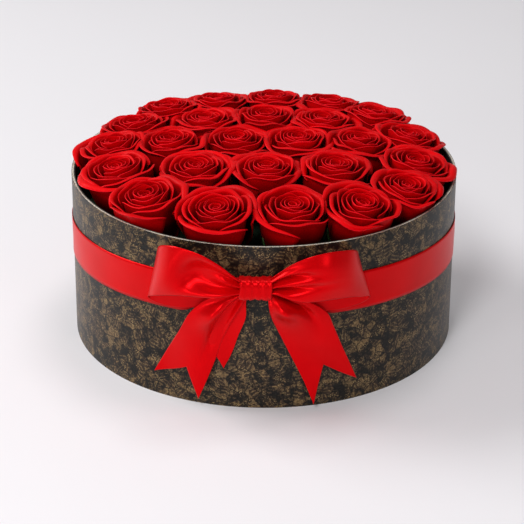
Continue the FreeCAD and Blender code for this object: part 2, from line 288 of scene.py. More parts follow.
def own_place(tree):
    """A point's place in the object, in metres."""
    return add(tree, "ShaderNodeTexCoord", {}).outputs["Object"]


def across_place(tree):
    """A point's place along and across its ribbon or petal."""
    return add(tree, "ShaderNodeUVMap", {"uv_map": "Across"}).outputs["UV"]


def new_finish(name, settings):
    """A material with one surface shader. Returns the material, its tree and the shader."""
    finish = bpy.data.materials.new(name)
    finish.use_nodes = True
    tree = finish.node_tree
    tree.nodes.clear()
    surface = add(tree, "ShaderNodeBsdfPrincipled", settings)
    add(tree, "ShaderNodeOutputMaterial", {"Surface": surface.outputs["BSDF"]})
    return finish, tree, surface


def coat(tree, surface, tone, height, strength, distance):
    """Gives the surface its colour, if there is one, and raises it by the height."""
    settings = {"Strength": strength, "Distance": distance, "Height": height}
    bump = add(tree, "ShaderNodeBump", settings)
    tree.links.new(bump.outputs["Normal"], surface.inputs["Normal"])
    if tone is not None:
        tree.links.new(tone, surface.inputs["Base Color"])


def shade(colour_value, factor):
    """A colour made lighter or darker by a factor."""
    return (*(min(1.0, factor * c) for c in colour_value[:3]), 1.0)


def satin_ribbon(colours):
    """Woven polyester satin. Long floats of yarn give broad soft highlights that stay red, and the
    weft shows as faint lines across."""
    finish, tree, surface = new_finish(
        "woven_polyester_satin",
        {
            "Metallic": 0.35,
            "Roughness": 0.30,
            "Specular IOR Level": 0.55,
            "Specular Tint": linear("#FF4A50"),
            "Sheen Weight": 0.05,
            "Sheen Roughness": 0.4,
            "Sheen Tint": linear("#FF3A30"),
        },
    )
    # Yarns lie 0.12 mm apart; they are drawn 0.5 mm apart so that they show.
    weft = add(
        tree,
        "ShaderNodeTexWave",
        {
            "Scale": BANDS_PER_SCALE / (0.5 * MM),
            "Distortion": 0.4,
            "bands_direction": "X",
            "Vector": across_place(tree),
        },
    )
    # Slow cloudiness, about 20 mm across, where the cloth has been handled.
    cloud = noise(tree, own_place(tree), 45.0, 2.0)
    tone = mix(tree, cloud, shade(colours.satin, 0.86), shade(colours.satin, 1.1))
    coat(tree, surface, tone, weft.outputs["Fac"], 0.12, 0.05 * MM)
    return finish


def rose_petal(colours):
    """Fresh rose petal: velvety, with painted shade deep at the root, painted light along the lip,
    a pale rim that is partly its own paler edge and partly painted highlight, and faint veins that
    run up it."""
    finish, tree, surface = new_finish(
        "fresh_rose_petal",
        {
            "Roughness": 0.46,
            "Specular IOR Level": 0.22,
            "Specular Tint": linear("#FF5058"),
            "Sheen Weight": 0.06,
            "Sheen Roughness": 0.3,
            "Sheen Tint": linear("#FF2030"),
        },
    )
    place = across_place(tree)
    split = add(tree, "ShaderNodeSeparateXYZ", {0: place})
    # Up the petal: painted shade at the root, the petal's own red in the face, painted light along
    # the lip, and a pale rim that is partly the petal's own paler edge and partly painted
    # highlight.
    ramp = add(tree, "ShaderNodeValToRGB", {0: split.outputs["Y"]})
    stops = ramp.color_ramp
    stops.elements[0].color = colours.petal_root_shade
    stops.elements[0].position = 0.3
    stops.elements[1].color = colours.petal_pale_rim_and_highlight
    stops.elements.new(0.50).color = colours.petal_face
    stops.elements.new(0.66).color = colours.petal_lip
    stops.elements.new(0.95).color = colours.petal_lip
    # Each petal is a little lighter or darker than the next.
    own_tone = add(tree, "ShaderNodeAttribute", {"attribute_name": "tone"}).outputs["Fac"]
    toned = mix(tree, 1.0, ramp.outputs["Color"], own_tone, "MULTIPLY")
    # Veins about 0.8 mm apart fan from the root to the lip.
    fan = add(tree, "ShaderNodeMapping", {"Scale": (38.0, 3.0, 1.0), "Vector": place})
    veins = noise(tree, fan.outputs[0], 1.0, 3.0, 0.6)
    coat(tree, surface, toned, veins, 0.35, 0.25 * MM)
    return finish


def green_growth(name, deep, light, roughness, grain):
    """Leaf, sepal or stem skin: waxy, paler in patches, with a grain of the given size in
    millimetres."""
    finish, tree, surface = new_finish(name, {"Roughness": roughness, "Specular IOR Level": 0.45})
    place = own_place(tree)
    patch = noise(tree, place, 0.25 / (grain * MM), 4.0)
    tone = mix(tree, patch, linear(deep), linear(light))
    coat(tree, surface, tone, noise(tree, place, 1 / (grain * MM), 2.0), 0.3, 0.2 * MM)
    return finish


def printed_paper(colours):
    """Coated wrapping paper printed with bronze flowers and leaves on a near-black ground, with
    fine gold lines, dark crazing and specks of metallic ink."""
    finish, tree, surface = new_finish(
        "printed_coated_paper", {"Specular IOR Level": 0.22, "Roughness": 0.38}
    )
    # The sheet is rolled flat: metres round the wall from the front, and metres up it.
    xyz = add(tree, "ShaderNodeSeparateXYZ", {0: own_place(tree)})
    turn = calc(tree, "ARCTAN2", xyz.outputs["X"], calc(tree, "MULTIPLY", xyz.outputs["Y"], -1.0))
    round_wall = calc(tree, "MULTIPLY", turn, WALL_RADIUS)
    flat = add(tree, "ShaderNodeCombineXYZ", {"X": round_wall, "Y": xyz.outputs["Z"]}).outputs[0]
    # The print's own lines wander by up to 4 mm.
    wander = add(tree, "ShaderNodeTexNoise", {"Scale": 90.0, "Detail": 3.0, "Vector": flat})
    push = add(
        tree,
        "ShaderNodeVectorMath",
        {
            "operation": "MULTIPLY_ADD",
            0: wander.outputs["Color"],
            1: (4 * MM, 4 * MM, 0.0),
            2: flat,
        },
    ).outputs[0]
    # Flower heads about 26 mm apart. Each cell's own offset gives petals that radiate from it.
    flowers = cells(tree, push, 26 * MM, Randomness=0.9)
    scaled = add(
        tree, "ShaderNodeVectorMath", {"operation": "SCALE", 0: push, "Scale": 1 / (26 * MM)}
    )
    spot = add(
        tree,
        "ShaderNodeVectorMath",
        {"operation": "SUBTRACT", 0: scaled.outputs[0], 1: flowers.outputs["Position"]},
    )
    arm = add(tree, "ShaderNodeSeparateXYZ", {0: spot.outputs[0]})
    bearing = calc(tree, "ARCTAN2", arm.outputs["Y"], arm.outputs["X"])
    petal_turns = calc(tree, "MULTIPLY", bearing, 17.0)
    ring_turns = calc(tree, "MULTIPLY_ADD", flowers.outputs["Distance"], 9.0, petal_turns)
    petal_lines = remap(tree, calc(tree, "SINE", ring_turns), 0.35, 0.95)
    # Leaf fragments 8 mm across: each has a darkness and a direction of its own.
    leaves = cells(tree, push, 8 * MM)
    leaf_chance = add(tree, "ShaderNodeSeparateColor", {0: leaves.outputs["Color"]})
    leaf_turn = calc(tree, "MULTIPLY", leaf_chance.outputs["Red"], math.pi)
    along_veins = add(
        tree,
        "ShaderNodeVectorRotate",
        {"rotation_type": "Z_AXIS", "Vector": push, "Angle": leaf_turn},
    )
    # Their veins are about 3 mm apart.
    veins = add(
        tree,
        "ShaderNodeTexWave",
        {
            "Scale": 1 / (9 * MM),
            "Distortion": 2.5,
            "Detail": 2.0,
            "Detail Scale": 2.0,
            "Vector": along_veins.outputs[0],
        },
    )
    vein_lines = remap(tree, veins.outputs["Fac"], 0.72, 0.95)
    # Bronze patches 8 mm across, broken up at the edges of the fragments.
    patches = noise(tree, flat, 1 / (8 * MM), 8.0, 0.74)
    patch_sum = calc(tree, "MULTIPLY_ADD", leaf_chance.outputs["Green"], 0.16, patches)
    patch_mask = remap(tree, patch_sum, 0.50, 0.62)
    ground = mix(tree, patch_mask, colours.paper_ground, colours.paper_leaf)
    lines = calc(tree, "MULTIPLY", calc(tree, "MAXIMUM", petal_lines, vein_lines), patch_mask)
    gilded = mix(tree, calc(tree, "MULTIPLY", lines, 0.8), ground, colours.paper_gold)
    # Dark crazing along the edges of the fragments.
    edges = cells(tree, push, 8 * MM, feature="DISTANCE_TO_EDGE")
    crack = remap(tree, edges.outputs["Distance"], 0.02, 0.09, 0.9, 0.0)
    crazed = mix(tree, crack, gilded, linear("#0E0D0D"))
    # Fine mottle of the print, under 2 mm across.
    mottle = remap(tree, noise(tree, flat, 1 / (1.7 * MM), 3.0, 0.7), 0.38, 0.62, 0.40, 1.65)
    mottled = mix(tree, 1.0, crazed, mottle, "MULTIPLY")
    # Specks of metallic ink 0.5 mm across, only where the patches are high.
    specks = cells(tree, flat, 1.5 * MM)
    speck_core = remap(tree, specks.outputs["Distance"], 0.10, 0.26, 0.8, 0.0)
    speck_mask = calc(tree, "MULTIPLY", speck_core, remap(tree, patches, 0.50, 0.62))
    finished = mix(tree, speck_mask, mottled, linear("#C9AE78"))
    coat(tree, surface, finished, patches, 0.25, 0.15 * MM)
    return finish


def cut_board(colours):
    """Rolled greyboard with a cream face. Its cut edge is fibrous, with darker flecks, and bare
    only along the outer corner, about 1.2 mm wide: the rest is dark, for the wrap paper turned over
    it and painted shade on its inner side."""
    finish, tree, surface = new_finish("cut_cream_board", {"Roughness": 0.8})
    place = own_place(tree)
    fibres = noise(tree, place, 1 / (1.2 * MM), 4.0, 0.7)
    bare = mix(tree, remap(tree, fibres, 0.40, 0.56), linear("#7A6C54"), colours.board_edge)
    level = add(
        tree, "ShaderNodeVectorMath", {"operation": "MULTIPLY", 0: place, 1: (1.0, 1.0, 0.0)}
    )
    out = add(tree, "ShaderNodeVectorMath", {"operation": "LENGTH", 0: level.outputs[0]})
    corner = remap(tree, out.outputs["Value"], WALL_RADIUS - 1.8 * MM, WALL_RADIUS - 1.4 * MM)
    # Inside the bare corner the edge is dark: the wrap paper turned over it, with painted shade on
    # its inner side.
    coat(tree, surface, mix(tree, corner, linear("#2B241C"), bare), fibres, 0.4, 0.2 * MM)
    return finish


def plain_finish(name, deep, light, grain, settings, depth=0.15):
    """A finish of two close tones, in a grain of the given size and depth in millimetres."""
    finish, tree, surface = new_finish(name, settings)
    grains = noise(tree, own_place(tree), 1 / (grain * MM), 5.0, 0.6)
    tone = mix(tree, grains, linear(deep), linear(light))
    coat(tree, surface, tone, grains, 0.5, depth * MM)
    return finish


def dress(finish, *nodes):
    """Gives CAD nodes a finish."""
    for node in nodes:
        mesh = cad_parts[node].data
        mesh.materials.clear()
        mesh.materials.append(finish)


# ---- ribbon shapes ----
# Each row is a station along a ribbon. It gives its two edges as millimetres to the side of the
# knot's middle, proud of the wall, and above the knot's middle.
LOOP_LEFT = [
    ((5, 13, 4.0), (5, 13, -2.0)),
    ((15.5, 16, 12.0), (17, 16, -3.2)),
    ((25.5, 19, 20.6), (30, 18.5, -4.8)),
    ((37.8, 21, 27.6), (43, 20, -5.6)),
    ((50.3, 21, 31.0), (55, 20, -7.2)),
    ((60.5, 18, 30.4), (66, 19, -9.9)),
    ((68, 12.5, 26.2), (74.5, 15.5, -14.4)),
    ((71, 7, 20.5), (79, 9, -19.8)),
    ((69.5, 3.5, 16.5), (77.9, 4, -25.0)),
    ((62, 2, 13), (71.5, 2.5, -27.4)),
    ((50, 2, 11), (60, 2, -27.3)),
    ((38, 3, 9), (47, 2, -25)),
    ((26, 5, 7), (34, 3, -20)),
    ((14, 8, 5), (18.6, 6, -12)),
    ((5, 9, 3), (7, 9, -5)),
]
LOOP_RIGHT = [
    ((5, 13, 4.0), (5, 13, -2.0)),
    ((16.2, 16, 14.0), (15.5, 15.5, -2.2)),
    ((26, 19, 22.2), (25, 18, -5.6)),
    ((38.4, 21, 28.2), (36, 20, -7.8)),
    ((52.6, 21, 30.6), (50, 21, -7.4)),
    ((63.5, 17, 28.5), (66.2, 18, -8.9)),
    ((70.3, 12.5, 25.4), (75.6, 14, -12.4)),
    ((73.5, 6.5, 20), (83, 8, -17)),
    ((72, 3.5, 16), (82.7, 4, -21.6)),
    ((64, 2, 13), (76, 2.5, -24.8)),
    ((52, 2, 11), (62, 2, -26.5)),
    ((40, 3, 9), (47, 2, -25)),
    ((27, 5, 7), (33, 4, -18)),
    ((15, 8, 5), (17.5, 8, -8)),
    ((5, 9, 3), (6, 9, -4)),
]
TAIL_LEFT = [
    ((4, 8, -3), (8, 8, -1)),
    ((8, 9, -9), (20, 9, -7)),
    ((10.5, 9.5, -15), (36, 9, -13)),
    ((16.7, 8, -28), (48, 8, -25)),
    ((24, 5.5, -46.5), (56, 6.5, -42.5)),
    ((29.5, 4.5, -64.2), (63.5, 5.5, -58.5)),
    ((36.3, 5.5, -82), (69.8, 6, -71.5)),
    ((42.2, 7, -96), (75.5, 7, -82.5)),
]
TAIL_RIGHT = [
    ((4, 8, -3), (8, 8, -1)),
    ((8.5, 9, -8), (21, 9, -7)),
    ((9.5, 9.5, -15), (38, 9, -13.5)),
    ((11.8, 8, -26), (51.5, 8, -23.5)),
    ((18.5, 5.5, -43), (57, 6, -36)),
    ((27.2, 4.5, -62.6), (63, 5.5, -52)),
    ((36, 5.5, -81), (69.5, 6, -68.5)),
    ((43.4, 7, -99.2), (75.3, 7, -84)),
]
TAIL_UNDER = [
    ((4, 6, -4), (9, 6, -4)),
    ((6.8, 6, -12.4), (18, 6, -12)),
    ((7.2, 5, -26.8), (26, 5, -25)),
    ((12.4, 3.5, -42.5), (32, 3, -40)),
    ((17.2, 2.5, -58), (37, 2.5, -54)),
    ((23.5, 2.5, -71.5), (42, 2.5, -63)),
]


def ribbon_grid(stations, side, along, across, folds):
    """A ribbon between two smooth edges: rows along it, and straight across from edge to edge.
    folds gives how far each point is pushed off the wall, from its place along and across."""
    edges = smooth_path(np.asarray(stations, float) * MM, along)
    v = np.linspace(0, 1, across)[None, :, None]
    flat = edges[:, None, 0] * (1 - v) + edges[:, None, 1] * v
    u = np.linspace(0, 1, along)[:, None] * np.ones(across)
    x = KNOT.x + side * flat[..., 0]
    z = KNOT.z + flat[..., 2]
    proud = flat[..., 1] + folds(u, v[..., 0] * np.ones((along, 1))) * MM
    return np.stack([x, wall_y(x, np.maximum(proud, 0.4 * MM)), z], -1)


def gathers(u, v, at, reach, count, depth, phase):
    """Folds that start at a place along the ribbon and die away over its reach."""
    fade = np.exp(-(((u - at) / reach) ** 2))
    return depth * fade * np.sin(2 * np.pi * (count * v + phase))


def swallow_cut(grid, depth):
    """Draws each column of a ribbon back from its end, most in the middle: a V cut."""
    rows, columns, _ = grid.shape
    v = np.abs(np.linspace(-1, 1, columns))
    reach = (1 - depth * (1 - v)) * (rows - 1)
    at = np.linspace(0, 1, rows)[:, None] * reach[None, :]
    i = np.minimum(at.astype(int), rows - 2)
    f = (at - i)[..., None]
    j = np.arange(columns)[None, :] * np.ones_like(i)
    return grid[i, j] * (1 - f) + grid[i + 1, j] * f


# ---- rose shapes ----
GOLDEN_TURN = math.pi * (3 - math.sqrt(5))
WALL_SHARE = 0.6  # share of the way from a petal's root to its lip at which its wall ends


def petal_grids(count, radius, height, outline, seed):
    """The petals of one open head about its own axis, as (petal, across, up, xyz).

    Petals are set round the axis a golden turn apart, from the heart out. s runs from 0 at the
    heart to 1 outside, a from side to side of a petal, and q from its root to its lip. A petal's
    wall leaves the root, bellies out and stands up, flares just below the lip, and ends in a small
    arc that rolls over outwards. The arc is larger and turns further from the heart out. One side
    of each petal stands further out than the other, so that they lap in a spiral. outline says how
    far the head reaches each way, and the head is drawn out or pressed in to meet it, least at the
    heart."""
    rng = np.random.default_rng(seed)
    s = np.linspace(0, 1, count)[:, None, None]
    a = np.linspace(-1, 1, 23)[None, :, None]
    up_wall = np.linspace(0, 1, 9)[:-1] ** 0.8 * WALL_SHARE
    q = np.concatenate([up_wall, np.linspace(WALL_SHARE, 1, 8)])[None, None, :]
    chance = rng.normal(0, 1, (8, count, 1, 1))
    wall = np.clip(q / WALL_SHARE, 0, 1)
    roll = np.clip((q - WALL_SHARE) / (1 - WALL_SHARE), 0, 1)

    reach = radius * (0.06 + 0.94 * s**1.3) * (1 + 0.028 * chance[0])
    half = (1.2 + 1.3 * (1 - s) ** 3) * (1 + 0.10 * chance[6])
    turn = np.arange(count)[:, None, None] * GOLDEN_TURN + 0.16 * chance[1] + rng.uniform(0, 6.28)
    bearing = turn + a * half * (0.5 + 0.5 * wall**0.7)

    lip = height * (0.91 + 0.075 * np.sin(np.pi * s**0.8) - 0.015 * s + 0.010 * chance[2])
    lip = lip - height * (0.02 + 0.11 * s) * np.abs(a) ** 3
    lip = lip + height * 0.014 * (0.2 + s) * np.sin(2.2 * np.pi * a + 3 * chance[3])

    curl = radius * (0.010 + 0.092 * s**2.2) * (1 - 0.45 * a**2) * (1 + 0.15 * chance[4])
    most = (0.35 + 2.25 * s**1.5) * (1 + 0.10 * chance[7]) * (1 - 0.25 * a**2)
    angle = roll * most
    flare = radius * 0.12 * s**0.8 * (1 - 0.9 * s**2) * (1 - 0.5 * a**4)
    foot = height * 0.22 * (1 - s)
    shoulder = lip - curl * np.sin(np.minimum(most, np.pi / 2))
    z = foot + (shoulder - foot) * wall + curl * np.sin(angle)

    root = 0.10 * radius * (0.4 + s)
    top = reach - curl * (1 - np.cos(most)) - flare
    r = root + (top - root) * np.sin(np.pi / 2 * wall) ** 0.42 + curl * (1 - np.cos(angle))
    r = r + flare * np.exp(-(shoulder - foot) * (1 - wall) / (0.19 * height)) * wall**2
    r = r + radius * (0.045 * (0.3 + s) * a - 0.05 * s * a**6) * wall
    r = r * (1 + 0.03 * s * (a**2 - 0.3) * wall)
    r = r + radius * 0.04 * s**2 * np.exp(-((a / 0.2) ** 2)) * wall**3
    r = r + radius * 0.014 * s * np.sin(1.7 * np.pi * a + 4 * chance[5]) * wall**3
    stretch = np.interp(bearing, *outline, period=2 * np.pi) / radius - 1
    r = r * (1 + stretch * np.clip(r / radius, 0, 1) ** 1.6)
    tone = 1 + 0.08 * chance[6] + np.zeros_like(r)
    grids = np.stack([r * np.cos(bearing), r * np.sin(bearing), z], -1)
    across = np.broadcast_to((a + 1) / 2, r.shape)
    up = np.broadcast_to(q, r.shape)
    return grids, np.stack([across, up], -1).reshape(-1, 2), np.clip(tone, 0.75, 1.2).reshape(-1)


HEAD_LEAN = math.radians(12)  # of the heads in the outer ring
HEAD_TALL = 47.5 * MM
HEAD_WIDEST = 0.86  # share of its height at which a head is widest
PRESS_SHARPNESS = 9  # how sharply the limits of a head's reach give way to one another
LINING_GAP = 1.8 * MM  # petals to the lining's outer face
OVERHANG_START = 2 * MM  # above the rim
OVERHANG = 1.3  # per millimetre above that


class Head:
    """Where one rose head stands: its foot, its lean, its height and how far it reaches."""

    def __init__(self, node, sizes):
        low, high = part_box(node)
        centre = (low + high) / 2
        self.bearing = math.atan2(centre.y, centre.x)
        out = math.hypot(centre.x, centre.y)
        self.lean = HEAD_LEAN * min(1.0, out / RING_RADIUS) ** 2
        self.height = HEAD_TALL
        self.outer = out > 0.8 * RING_RADIUS
        rise = (high.z + low.z) / 2 - self.height / 2
        spread = HEAD_WIDEST * self.height * math.sin(self.lean)
        self.foot = np.array(
            [
                centre.x - spread * math.cos(self.bearing),
                centre.y - spread * math.sin(self.bearing),
                rise,
            ]
        )
        turn = Matrix.Rotation(self.bearing, 3, "Z") @ Matrix.Rotation(self.lean, 3, "Y")
        self.turn = np.array(turn)
        self.outline = self.reach_each_way(centre, out, sizes)
        self.radius = float(self.outline[1].mean())

    def reach_each_way(self, centre, out, sizes):
        """How far the head reaches at each bearing about its own axis: the smoothed least of its
        open radius, the way to each neighbour that it presses against, and the way to just over
        the rim."""
        about = np.linspace(-np.pi, np.pi, 73)
        to_rim = np.sqrt(sizes.over_rim**2 - (out * np.sin(about)) ** 2) - out * np.cos(about)
        limits = [np.full(about.shape, sizes.head_open), to_rim]
        for other in HEAD_MIDDLES:
            gap = math.hypot(other.x - centre.x, other.y - centre.y)
            if 0 < gap < 3 * sizes.head_open:
                bearing = math.atan2(other.y - centre.y, other.x - centre.x) - self.bearing
                facing = np.maximum(np.cos(about - bearing), 0.2)
                limits.append((gap * sizes.head_press / 2) / facing)
        reach = (np.array(limits) ** -PRESS_SHARPNESS).sum(0) ** (-1 / PRESS_SHARPNESS)
        return about, reach

    def place(self, grids):
        """Points about the head's own axis, moved to where it stands. What is low stays inside the
        lining, and what is above the rim may overhang it by a multiple of its height."""
        points = grids @ self.turn.T + self.foot
        over = np.maximum(points[..., 2] - RIM_HEIGHT - OVERHANG_START, 0)
        free = size("wall_lining").x / 2 - LINING_GAP + OVERHANG * over
        share = np.minimum(1, free / np.maximum(np.hypot(points[..., 0], points[..., 1]), 1 * MM))
        points[..., :2] *= share[..., None]
        return points


def sepal_grids(radius, height, seed):
    """Five narrow pointed sepals that start at the hip and lie up the outside of the cup."""
    rng = np.random.default_rng(seed)
    a = np.linspace(-1, 1, 7)[None, :, None]
    t = np.linspace(0, 1, 11)[None, None, :]
    k = np.arange(5)[:, None, None]
    chance = rng.normal(0, 1, (3, 5, 1, 1))
    spread = (0.55 + 0.1 * chance[0]) * np.sqrt(t)
    width = 3.6 * MM * np.sin(np.pi * np.clip(t * 0.92 + 0.08, 0, 1)) ** 0.8 + 0.15 * MM
    r = 4 * MM + (radius * 0.93 - 4 * MM) * np.sin(np.pi / 2 * spread * 1.25) ** 0.8
    z = -1.5 * MM + height * (0.05 + 0.62 * spread * t) + 2 * MM * chance[1] * t**2
    bearing = k * 2 * np.pi / 5 + 0.15 * chance[2] + a * width / np.maximum(r, 3 * MM)
    r = r + 1.2 * MM + 0.6 * MM * a**2
    full = np.broadcast_arrays(r * np.cos(bearing), r * np.sin(bearing), z)
    return np.stack(full, -1)


def leaflet_grids(bearings, radius, low, high, seed):
    """Serrated oval leaflets that stand against the tray between heads, folded at the midrib."""
    rng = np.random.default_rng(seed)
    count = len(bearings)
    a = np.linspace(-1, 1, 9)[None, :, None]
    t = np.linspace(0, 1, 17)[None, None, :]
    chance = rng.normal(0, 1, (3, count, 1, 1))
    bend = np.asarray(bearings)[:, None, None] + 0.02 * chance[0]
    teeth = 1 + 0.06 * np.abs(np.sin(np.pi * 8 * t)) * np.abs(a)
    half = 8.0 * MM * np.sin(np.pi * (0.03 + 0.94 * t) ** 0.85) ** 0.9 * teeth
    across = a * half
    out = radius - 2.5 * MM * np.abs(a) + 3 * MM * t**2 + 1.0 * MM * chance[1]
    z = low + (high - low) * t + 1.5 * MM * chance[2] * t
    turn = bend + across / radius
    full = np.broadcast_arrays(out * np.cos(turn), out * np.sin(turn), z)
    return np.stack(full, -1)


# ---- operators ----
class FLOWERBOX_OT_board(bpy.types.Operator):
    """Finish the board box: printed paper outside, dark paper inside, a pale cut edge at the rim"""

    bl_idname = "flowerbox.board"
    bl_label = "Board and papers"

    def execute(self, context):
        colours = context.scene.flower_box_colours
        dress(printed_paper(colours), "wall_wrap")
        dress(cut_board(colours), "box_wall", "box_base")
        # Uncoated black paper: matt, with a soft fibre.
        black = plain_finish(
            "uncoated_black_paper", "#0D0C0D", "#1B1A1B", 1.5, {"Roughness": 0.75}, 0.1
        )
        dress(black, "wall_lining", "base_lining", "base_paper")
        return {"FINISHED"}


class FLOWERBOX_OT_insert(bpy.types.Operator):
    """Finish the lift-out tray, the foam and the wire"""

    bl_idname = "flowerbox.insert"
    bl_label = "Tray and foam"

    def execute(self, context):
        # Vacuum-formed film: glossy, and a little crinkled.
        film = plain_finish(
            "black_liner_film",
            "#0B0D0B",
            "#151815",
            9.0,
            {"Roughness": 0.22, "Specular IOR Level": 0.5},
            0.8,
        )
        dress(film, "liner_tray")
        # Soaked floral foam: deep green open cells that crush to powder.
        foam = plain_finish(
            "soaked_floral_foam", "#0C2213", "#1C4026", 0.9, {"Roughness": 0.95}, 0.6
        )
        dress(foam, "foam_disc")
        wire = plain_finish(
            "annealed_florist_wire",
            "#5A5855",
            "#8A8782",
            0.6,
            {"Metallic": 1.0, "Roughness": 0.4},
            0.02,
        )
        dress(wire, "bow_tie_wire")
        return {"FINISHED"}


class FLOWERBOX_OT_band(bpy.types.Operator):
    """Make the satin band round the wall, gathered up to the knot at the front"""

    bl_idname = "flowerbox.band"
    bl_label = "Ribbon band"

    def execute(self, context):
        sizes = context.scene.flower_box_sizes
        low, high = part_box("ribbon_band")
        rise = (high.z - low.z - sizes.band_width) / 2
        knot_bearing = math.asin(KNOT.x / WALL_RADIUS)
        turn = np.linspace(0.035, 2 * math.pi - 0.035, 361)[:, None] + knot_bearing
        v = np.linspace(-0.5, 0.5, 13)[None, :]
        side = np.abs((turn - knot_bearing + math.pi) % (2 * math.pi) - math.pi) * WALL_RADIUS
        gather = 1 - ease(side, 14 * MM, 58 * MM)
        mid = (low.z + high.z) / 2 + rise * np.cos(turn)
        mid = mid * (1 - gather) + (KNOT.z - 1.5 * MM) * gather
        width = sizes.band_width * (1 - 0.68 * gather)
        z = mid + width * v
        pleats = 1.2 * MM * gather * (1 + np.cos(2 * np.pi * 3.5 * v))
        slack = 0.12 * MM * (1 + np.sin(9 * turn + 5 * v))
        r = WALL_RADIUS + 0.35 * MM + pleats + slack
        grid = np.stack([r * np.sin(turn), -r * np.cos(turn), z + 0 * r], -1)
        piece = ribbon_piece("ribbon_band_satin", grid, satin(context), sizes.ribbon_thickness)
        stand_for(piece, ["ribbon_band"], "box")
        return {"FINISHED"}


def satin(context):
    """The one satin finish that every ribbon piece shares."""
    made = bpy.data.materials.get("woven_polyester_satin")
    return made or satin_ribbon(context.scene.flower_box_colours)


def swell(u, v, at_u, at_v, wide_u, wide_v):
    """A round hump, 1 high at a place on the ribbon, that dies away over its two widths."""
    return np.exp(-(((u - at_u) / wide_u) ** 2) - ((v - at_v) / wide_v) ** 2)


def loop_left_folds(u, v):
    """Crowned across the front, with a broad dimple near the knot and pleats beside it."""
    crown = 5.5 * np.sin(np.pi * v) * swell(u, v, 0.36, 0.5, 0.13, 9)
    dimple = -10.0 * swell(u, v, 0.225, 0.50, 0.085, 0.30)
    ridge = 3.5 * swell(u, v, 0.16, 0.93, 0.10, 0.12)
    return crown + dimple + ridge + gathers(u, v, 0.02, 0.15, 2.4, 2.4, 0.1)


def loop_right_folds(u, v):
    """Crowned across the front, with two creases that run out of the knot and pleats beside it."""
    crown = 5.0 * np.sin(np.pi * v) * swell(u, v, 0.33, 0.5, 0.15, 9)
    low = -7.0 * np.exp(-(((v - 0.80 + 0.55 * u) / 0.085) ** 2) - ((u - 0.14) / 0.11) ** 2)
    high = -6.0 * np.exp(-(((v - 0.30 - 0.5 * u) / 0.08) ** 2) - ((u - 0.13) / 0.09) ** 2)
    return crown + low + high + gathers(u, v, 0.02, 0.15, 2.8, 2.2, 0.55)


def tail_left_folds(u, v):
    """A deep fold that opens out of the knot, a soft billow beside it and slack waves below."""
    fold = -8.0 * np.exp(-(((v - 0.12 - 0.20 * u) / 0.11) ** 2) - ((u - 0.40) / 0.20) ** 2)
    billow = 8.0 * swell(u, v, 0.40, 0.52, 0.10, 0.24)
    slack = 2.2 * np.sin(7.0 * u + 4.0 * v + 1.0) * ease(u, 0.2, 0.5)
    return fold + billow + slack + gathers(u, v, 0.05, 0.16, 2.2, 1.6, 0.3)


def tail_right_folds(u, v):
    """A billow under the loop, a long fold beside it that fades down the tail, and slack waves."""
    fold = -8.0 * np.exp(-(((v - 0.52 - 0.35 * u) / 0.11) ** 2) - ((u - 0.30) / 0.17) ** 2)
    billow = 8.0 * swell(u, v, 0.34, 0.34, 0.10, 0.22)
    slack = 2.2 * np.sin(6.5 * u - 3.5 * v + 0.5) * ease(u, 0.2, 0.5)
    return fold + billow + slack + gathers(u, v, 0.05, 0.16, 2.0, 1.6, 0.7)


def tail_under_folds(u, v):
    """Slack waves that cross the short end aslant."""
    return 0.8 * np.sin(6.0 * u + 5.0 * v)


class FLOWERBOX_OT_loops(bpy.types.Operator):
    """Make the two loops of the bow"""

    bl_idname = "flowerbox.loops"
    bl_label = "Bow loops"

    def execute(self, context):
        sizes = context.scene.flower_box_sizes
        plans = (
            ("left", LOOP_LEFT, -1, loop_left_folds),
            ("right", LOOP_RIGHT, 1, loop_right_folds),
        )
        for name, stations, side, folds in plans:
            grid = ribbon_grid(stations, side, 141, 41, folds)
            if side > 0:
                grid = grid[:, ::-1]
            title = f"bow_loop_{name}_satin"
            piece = ribbon_piece(title, grid, satin(context), sizes.ribbon_thickness)
            stand_for(piece, [f"bow_loop_{name}"], "box")
        return {"FINISHED"}


class FLOWERBOX_OT_tails(bpy.types.Operator):
    """Make the swallow-tailed ends of the bow"""

    bl_idname = "flowerbox.tails"
    bl_label = "Bow tails"

    def execute(self, context):
        sizes = context.scene.flower_box_sizes
        plans = (
            ("left", TAIL_LEFT, -1, tail_left_folds, 0.19),
            ("right", TAIL_RIGHT, 1, tail_right_folds, 0.19),
            ("under", TAIL_UNDER, -1, tail_under_folds, 0.12),
        )
        for name, stations, side, folds, notch in plans:
            whole = ribbon_grid(stations, side, 91, 41, folds)
            grid = swallow_cut(whole, notch)
            if side > 0:
                grid = grid[:, ::-1]
            title = f"bow_tail_{name}_satin"
            piece = ribbon_piece(title, grid, satin(context), sizes.ribbon_thickness)
            stand_for(piece, [f"bow_tail_{name}"], "box")
        return {"FINISHED"}


